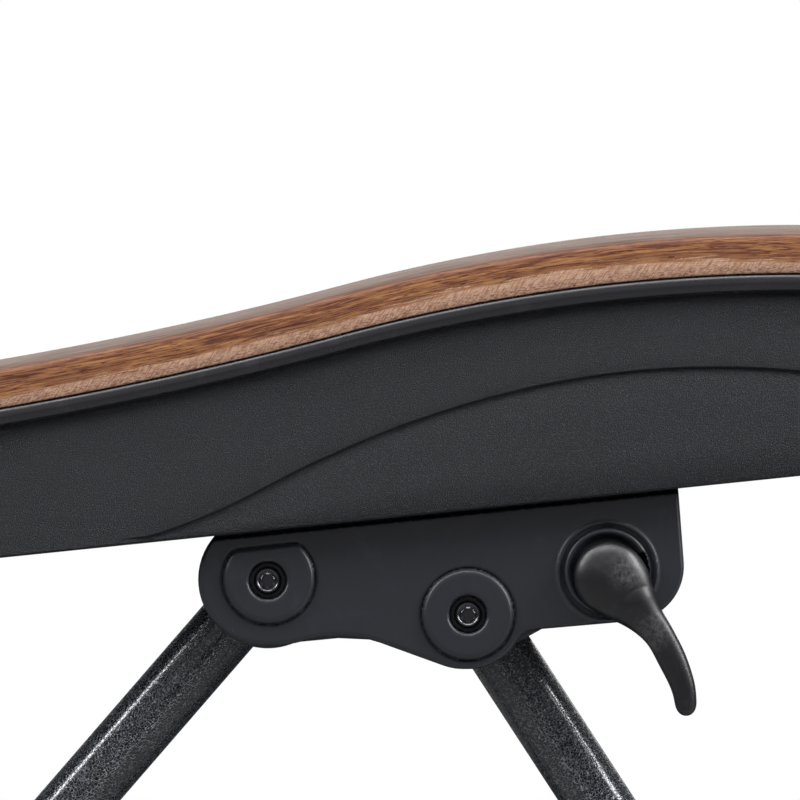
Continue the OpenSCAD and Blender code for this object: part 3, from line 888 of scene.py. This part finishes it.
loop_frame("back_frame", [HIP + polar(BACK_ANGLE, 45), LUMBAR, BACK_TOP], [300.0], "back",
           pairs("back_rail") + ["back_top_bar"])
loop_frame("seat_frame", [SEAT_REAR - polar(SEAT_ANGLE, 22), KNEE, CALF_END], [BEND], "seat",
           pairs("seat_rail") + ["knee_bends"] + pairs("calf_rail") + ["foot_end_bar"])

# ---------------- slings, lacing and pillow

SLING_HALF, SAG, EYELET_Y = 237.5, 16.0, 227.0
LACE_PITCH = 54.0


def woven(n, light, u, v):
    """Plain weave from two lengths across the cloth, in metres."""
    pitch = 0.0016
    bands = [n.math("SINE", n.math("MULTIPLY", way, math.pi / pitch)) for way in (u, v)]
    over = n.math("MULTIPLY", *bands)
    thread = n.math("ABSOLUTE", over)
    tone = n.mix(n.ramp(over, (0.45, 0.0), (0.55, 1.0)), srgb(24, 30, 40), srgb(*light))
    tone = n.mix(n.ramp(n.noise(24, 3), (0.35, 0.0), (0.7, 0.12)), tone, srgb(*light, tone=1.3))
    n.bump(thread, 0.6, 0.0006)
    return tone, thread


def sling_look():
    """Coated mesh cloth with a hem and its stitches near each edge."""
    n = Look("sling_cloth", specular=0.35)
    u, v, edge = (n.attribute(a) for a in ("across", "along", "edge"))
    tone, thread = woven(n, (52, 62, 78), u, v)
    stitch_pitch = 0.0042
    wave = n.math("SINE", n.math("MULTIPLY", n.math("ADD", u, v), 2 * math.pi / stitch_pitch))
    rows = [n.math("COMPARE", edge, inset, 0.0006) for inset in (0.0235, 0.0205)]
    stitch = n.math("MULTIPLY", n.math("GREATER_THAN", wave, -0.2), n.math("MAXIMUM", *rows))
    n.colour(n.mix(stitch, tone, srgb(112, 120, 132)))
    n.set(n.shader, Roughness=n.ramp(thread, (0.0, 0.75), (1.0, 0.5)))
    return n.material


def pillow_look():
    """The sling's cloth, a little duller."""
    n = Look("pillow_cloth", specular=0.3)
    d = polar(UPPER_ANGLE, 1)
    up = n.add("ShaderNodeVectorMath", operation="DOT_PRODUCT")
    n.feed(up, n.place, (d[0], 0, d[1]))
    tone, thread = woven(n, (54, 64, 80), n.split(n.place)[1], up.outputs["Value"])
    n.colour(tone)
    n.set(n.shader, Roughness=n.ramp(thread, (0.0, 0.8), (1.0, 0.58)))
    return n.material


def elastic_look():
    """Braided black elastic."""
    n = Look("elastic_cord", roughness=0.7, specular=0.25)
    braid = n.cells(900)
    n.colour(n.ramp(braid, (0.1, srgb(48, 48, 50)), (0.7, srgb(18, 18, 19))))
    n.bump(braid, 0.5, 0.0004)
    return n.material


SLING, PILLOW, ELASTIC = sling_look(), pillow_look(), elastic_look()


def profile_path(points, radius, side, step=9.0):
    """Evenly spaced places along a rounded profile, with the direction that its cloth sags in."""
    path = arc_path([(p[0], 0, p[1]) for p in points], [radius])[:, [0, 2]]
    lengths = np.concatenate([[0], np.cumsum(length(np.diff(path, axis=0)))])
    at = np.linspace(0, lengths[-1], int(lengths[-1] / step) + 1)
    place = np.column_stack([np.interp(at, lengths, path[:, k]) for k in (0, 1)])
    tangent = unit(np.gradient(place, axis=0))
    return at, place, side * np.column_stack([tangent[:, 1], -tangent[:, 0]])


def sling(name, points, radius, side, first_lace, body, replaces):
    """A strip of cloth held along its edges by lacing, sagging between them; also gives its length."""
    at, place, sag_way = profile_path(points, radius, side)
    total = at[-1]
    edge = np.array([-1, -0.992, -0.955, -0.948])
    across = np.concatenate([edge, np.linspace(-0.9, 0.9, 45), -edge[::-1]])
    thick, hem_width, under_rails = 1.3, 24, 1.6
    verts, u_mm, v_mm, edge_mm = [], [], [], []
    for face in (1, -1):
        for s, p, w in zip(at, place, sag_way):
            lace = math.cos(2 * math.pi * (s - first_lace) / LACE_PITCH)
            end_gap = min(s, total - s)
            for a in across:
                from_edge = (1 - abs(a)) * SLING_HALF
                pull = 1.6 * (1 - lace) * math.exp(-from_edge / 12)
                y = a * SLING_HALF - math.copysign(pull, a)
                sag = SAG * (1 - a * a) * (0.8 + 0.2 * float(smooth(end_gap / 90)))
                crease = 0.7 * lace * math.exp(-from_edge / 40) * (1 - math.exp(-from_edge / 6))
                margin = min(from_edge, end_gap)
                hem = 0.6 * (1 - float(smooth((margin - hem_width) / 2.5)))
                rim = (thick / 2 + hem) * math.sqrt(min(1, (margin + 0.15) / 1.6))
                q = p + w * (sag - under_rails + crease + face * rim)
                verts.append((q[0], y, q[1]))
                u_mm.append(y)
                v_mm.append(s)
                edge_mm.append(margin)
    cloth = piece(name, verts, shell_faces(len(at), len(across)), SLING, body, "sling", replaces, sharp=60)
    for key, values in (("across", u_mm), ("along", v_mm), ("edge", edge_mm)):
        store(cloth, key, np.array(values) * MM)
    return cloth, total


def ring(centre, axes, big, small, segments=28, sides=10):
    """A small torus lying in the plane of two axes."""
    a, b = axes
    up = np.cross(a, b)
    verts = []
    for i in range(segments):
        t = 2 * math.pi * i / segments
        out = math.cos(t) * a + math.sin(t) * b
        for k in range(sides):
            s = 2 * math.pi * k / sides
            verts.append(tuple(centre + out * (big + small * math.cos(s)) + up * small * 0.8 * math.sin(s)))
    return verts, ring_faces(segments, sides, looped=True)


def lace_loop(centre, along, normal, side):
    """An elastic loop from an eyelet round the rail and back, as a closed tube."""
    cord_r = 1.9
    wrap = TUBE_R + cord_r + 0.2

    def at(y, lift):
        return np.array([centre[0] + normal[0] * lift, side * y, centre[1] + normal[1] * lift])

    turn = np.linspace(math.radians(112), math.radians(-112), 22)
    points = [at(EYELET_Y, 2.6), at(EYELET_Y + 8, 5.2)]
    points += [at(RAIL_Y + wrap * math.cos(t), wrap * math.sin(t)) for t in turn]
    points += [at(EYELET_Y + 8, -5.2), at(EYELET_Y, -2.6)]
    path = np.array(points)
    slant = np.linspace(-2.6, 2.6, len(path))[:, None] * np.array([along[0], 0, along[1]])
    return tube_mesh(path + slant, cord_r, segments=10)


def lacing(name, runs, body, replaces):
    """Loops and eyelets down both sides, for runs of (start, stop, first loop, number of loops)."""
    loops, eyelets = [], []
    for start, stop, first, count in runs:
        along = unit(stop - start)
        normal = np.array([along[1], -along[0]])
        axes = (np.array([0.0, 1.0, 0.0]), np.array([along[0], 0, along[1]]))
        for i in range(count):
            c = start + along * (first + i * LACE_PITCH)
            for side in (-1, 1):
                loops.append(lace_loop(c, along, normal, side))
                for lift in (-2.2, 2.2):
                    centre = np.array([c[0] + normal[0] * lift, side * EYELET_Y, c[1] + normal[1] * lift])
                    eyelets.append(ring(centre, axes, 4.6, 1.3))
    piece(name, *merge(loops), ELASTIC, body, "elastic", replaces, sharp=60)
    piece(name + "_eyelets", *merge(eyelets), BLACK_STEEL, body, "elastic", sharp=60)


back_line = [HIP + polar(BACK_ANGLE, 80), LUMBAR, BACK_TOP - polar(UPPER_ANGLE, 50)]
seat_line = [SEAT_REAR + polar(SEAT_ANGLE, 45), KNEE, CALF_END - polar(CALF_ANGLE, 50)]
back_cloth, back_length = sling("back_sling_cloth", back_line, 300, -1, 180, "back", ["back_sling"])
seat_cloth, seat_length = sling("seat_sling_cloth", seat_line, BEND, 1, 25, "seat", ["seat_sling"])
lacing("back_laces", [(LUMBAR, BACK_TOP, 30, 10)], "back", ["back_lacing"])
lacing("seat_laces", [(SEAT_REAR, KNEE, 70, 8), (KNEE, CALF_END, 40, 6)], "seat", ["seat_lacing"])

UP = polar(UPPER_ANGLE, 1)
FORWARD = polar(UPPER_ANGLE - 90, 1)
PILLOW_AT = BACK_TOP - 131 * UP


def on_back(y, up, forward):
    """A place on the upper back, from the pillow's middle on the rails' plane."""
    p = PILLOW_AT + up * UP + forward * FORWARD
    return (p[0], y, p[1])


def pillow_strap():
    """A flat elastic band across the front of the sling and back behind it."""
    half, low, width, thick = 239.5, -15, 30, 1.4
    front = [(y, 4.6) for y in np.linspace(-half + 4, half - 4, 30)]
    bend = np.linspace(0.2, math.pi - 0.3, 9)
    turn = [(half - 4 + 5 * math.sin(t), -0.4 + 5 * math.cos(t)) for t in bend]
    rear = [(y, -SAG * (1 - (y / SLING_HALF) ** 2) - 3.0) for y in np.linspace(half - 8, -half + 8, 40)]
    loop = np.array(front + turn + rear + [(-y, f) for y, f in reversed(turn)])
    tangent = unit(np.roll(loop, -1, axis=0) - np.roll(loop, 1, axis=0))
    out = np.column_stack([-tangent[:, 1], tangent[:, 0]])
    high, t = low + width, thick / 2
    section = [(low, -t), (high, -t), (high + 0.3, 0), (high, t), (low, t), (low - 0.3, 0)]
    verts = [on_back(y + o[0] * off, up, f + o[1] * off)
             for (y, f), o in zip(loop, out) for up, off in section]
    faces = ring_faces(len(loop), len(section), looped=True)
    piece("pillow_band", verts, faces, ELASTIC, "back", "elastic", ["pillow_strap"])


def puff(obj, voxel, pressure, cap):
    """Swells a closed cloth piece by simulation; no point moves further than cap."""
    remesh = obj.modifiers.new("even", "REMESH")
    assign(remesh, mode="VOXEL", voxel_size=voxel, use_smooth_shade=True)
    apply_modifiers(obj)
    before = np.array([v.co[:] for v in obj.data.vertices])
    cloth = obj.modifiers.new("cloth", "CLOTH")
    assign(cloth.settings, use_pressure=True, uniform_pressure_force=pressure)
    cloth.settings.effector_weights.gravity = 0
    scene = bpy.context.scene
    for number in range(1, 21):
        scene.frame_set(number)
    apply_modifiers(obj)
    after = np.array([v.co[:] for v in obj.data.vertices])
    move = after - before
    size = length(move)[:, None]
    after = before + move * np.minimum(1, cap / np.maximum(size, 1e-9))
    obj.data.vertices.foreach_set("co", after.ravel())
    scene.frame_set(1)
    assign(obj.modifiers.new("fine", "SUBSURF"), levels=1, render_levels=1)
    apply_modifiers(obj)


def apply_modifiers(obj):
    """Swaps the mesh for what its modifiers make of it."""
    evaluated = obj.evaluated_get(bpy.context.evaluated_depsgraph_get())
    mesh = bpy.data.meshes.new_from_object(evaluated)
    obj.modifiers.clear()
    obj.data = mesh


def seam_loop(obj, point, normal):
    """The closed line where a plane cuts a mesh, as ordered points."""
    bm = bmesh.new()
    bm.from_mesh(obj.data)
    whole = [*bm.verts, *bm.edges, *bm.faces]
    cut = bmesh.ops.bisect_plane(bm, geom=whole, plane_co=point, plane_no=normal)
    edges = [e for e in cut["geom_cut"] if isinstance(e, bmesh.types.BMEdge)]
    links = {}
    for e in edges:
        a, b = e.verts
        links.setdefault(a, []).append(b)
        links.setdefault(b, []).append(a)
    start = next(iter(links))
    loop, here = [start], links[start][0]
    while here is not start and len(loop) <= len(links):
        loop.append(here)
        here = next(v for v in links[here] if v is not loop[-2])
    points = np.array([v.co[:] for v in loop])
    bm.free()
    return points


def head_pillow():
    """A small filled pillow, pinched at its corners, with a piped seam all round."""
    half_y, half_up, half_f, lift = 143.0, 58.0, 11.0, 26.0
    ys, ups = np.linspace(-1, 1, 41), np.linspace(-1, 1, 21)
    verts = []
    for face in (1, -1):
        for a in ys:
            for b in ups:
                full = (1 - a ** 6) * (1 - b ** 6)
                y = a * half_y * (1 - 0.02 * (1 - b * b))
                up = b * half_up * (1 - 0.05 * (1 - a * a))
                verts.append(on_back(y, up, lift + face * (2.5 + half_f * full ** 0.5)))
    pillow = piece("pillow_cushion", verts, shell_faces(len(ys), len(ups)), PILLOW, "back", "pillow",
                   ["head_pillow"])
    puff(pillow, voxel=0.005, pressure=4.0, cap=0.007)
    pillow.data.shade_smooth()
    corner = np.array([ORIGIN[0], 0, ORIGIN[1]])
    centre = (np.array(on_back(0, 0, lift)) + corner) * MM
    line = seam_loop(pillow, centre, (FORWARD[0], 0, FORWARD[1]))
    for _ in range(6):
        line = (np.roll(line, 1, axis=0) + 2 * line + np.roll(line, -1, axis=0)) / 4
    middle = line.mean(axis=0)
    proud = 0.6 * MM
    line = middle + (line - middle) * (1 + proud / length(line - middle)[:, None])
    line = np.vstack([line, line[:2]]) / MM - corner
    verts, faces = tube_mesh(line, 2.2, segments=12)
    piece("pillow_piping", verts, faces, PILLOW, "back", "pillow", sharp=60)


pillow_strap()
head_pillow()

# ---------------- CAD nodes that keep their shape

KEPT = {
    PLATE: pairs("bracket_plates", "slide_rail", "hip_plate") + ["seat_lugs"],
    SATIN: pairs("slide_block"),
    ZINC: pairs("clamp_bolt") + ["arm_pivot_bolts", "hip_pivot_bolts", "seat_studs"],
    RUBBER: ["front_feet", "rear_feet", "rail_end_caps", "back_end_caps"],
}
for kept_material, names in KEPT.items():
    for node_name in names:
        node = frame["nodes"][node_name]
        node.data.materials.clear()
        node.data.materials.append(kept_material)
        bevel = node.modifiers.new("soft_edges", "BEVEL")
        assign(bevel, width=0.4 * MM, segments=2, limit_method="ANGLE")

# ---------------- camera, light and floor

VIEW_WIDTH = 305.6
VIEW_CENTRE = np.array([50.6, 69.0])
NEAR_Y, CUT_Y = -345.0, -283.6
LENS, SENSOR = 1500.0, 36.0
# Each area light's place, size and watts; all are aimed at the middle of the arms.
LIGHTS = {
    "top_softbox": ((0.0, -1.0, 2.5), (2.0, 0.7), 48),
    "left_strip": ((-1.83, -0.90, 2.15), (0.34, 1.8), 76),
    "right_strip": ((1.88, -0.86, 1.71), (0.5, 1.5), 80),
    "front_softbox": ((-0.6, -3.2, 1.3), (2.0, 1.6), 5),
    "back_softbox": ((0.3, 2.6, 1.8), (2.2, 1.4), 40),
}


def add_object(name, data):
    obj = bpy.data.objects.new(name, data)
    bpy.context.scene.collection.objects.link(obj)
    return obj


def add_camera():
    """A very long lens, square to the chair's right side."""
    distance = VIEW_WIDTH * LENS / SENSOR
    # the view is cut off behind the near armrest and legs, because the photo shows nothing behind them
    end = (distance + CUT_Y - NEAR_Y) * MM
    data = bpy.data.cameras.new("camera")
    assign(data, lens=LENS, sensor_width=SENSOR, clip_start=1.0, clip_end=end)
    x, z = VIEW_CENTRE + ORIGIN
    camera = assign(add_object("camera", data), location=(x * MM, (NEAR_Y - distance) * MM, z * MM),
                    rotation_euler=(math.radians(90), 0, 0))
    bpy.context.scene.camera = camera


def add_lights():
    target = Vector((0, 0, ORIGIN[1] * MM))
    for name, (place, size, watts) in LIGHTS.items():
        data = bpy.data.lights.new(name, "AREA")
        assign(data, shape="RECTANGLE", size=size[0], size_y=size[1], energy=watts)
        turn = (target - Vector(place)).to_track_quat("-Z", "Y").to_euler()
        assign(add_object(name, data), location=place, rotation_euler=turn)


def add_world():
    """White to the camera; a softer dome, brighter above, to everything else."""
    world = bpy.data.worlds.new("studio")
    bpy.context.scene.world = world
    n = Nodes(world)
    n.tree.nodes.clear()
    up = n.split(n.add("ShaderNodeTexCoord").outputs["Generated"])[2]
    height = n.set(n.add("ShaderNodeMapRange"), Value=up, From_Min=-1).outputs[0]
    sky = n.ramp(height, (0.35, (0.10, 0.11, 0.13, 1)), (1.0, 1.0))
    dome = n.feed(n.add("ShaderNodeBackground"), sky, 0.4)
    white = n.feed(n.add("ShaderNodeBackground"), (1, 1, 1, 1), 1.0)
    seen = n.add("ShaderNodeLightPath").outputs["Is Camera Ray"]
    mixed = n.feed(n.add("ShaderNodeMixShader"), seen, dome, white)
    n.put(mixed, n.add("ShaderNodeOutputWorld").inputs["Surface"])


def add_floor():
    """Pale paper, darker to bounced light so that the undersides stay dark."""
    n = Look("floor_paper", roughness=0.9, specular=0.1)
    paper = n.ramp(n.noise(3, 2), (0.3, srgb(236, 236, 235)), (0.7, srgb(241, 241, 240)))
    seen = n.add("ShaderNodeLightPath").outputs["Is Camera Ray"]
    n.colour(n.mix(seen, srgb(150, 150, 150), paper))
    n.set(n.shader, Emission_Color=paper, Emission_Strength=n.math("MULTIPLY", seen, 0.5))
    mesh = bpy.data.meshes.new("floor")
    reach = 6
    corners = [(-reach, -reach, 0), (reach, -reach, 0), (reach, reach, 0), (-reach, reach, 0)]
    mesh.from_pydata(corners, [], [(0, 1, 2, 3)])
    mesh.materials.append(n.material)
    floor = add_object("floor", mesh)
    floor.location.z = -0.001


add_camera()
add_world()
add_floor()
add_lights()
bpy.context.scene.view_settings.view_transform = "Standard"
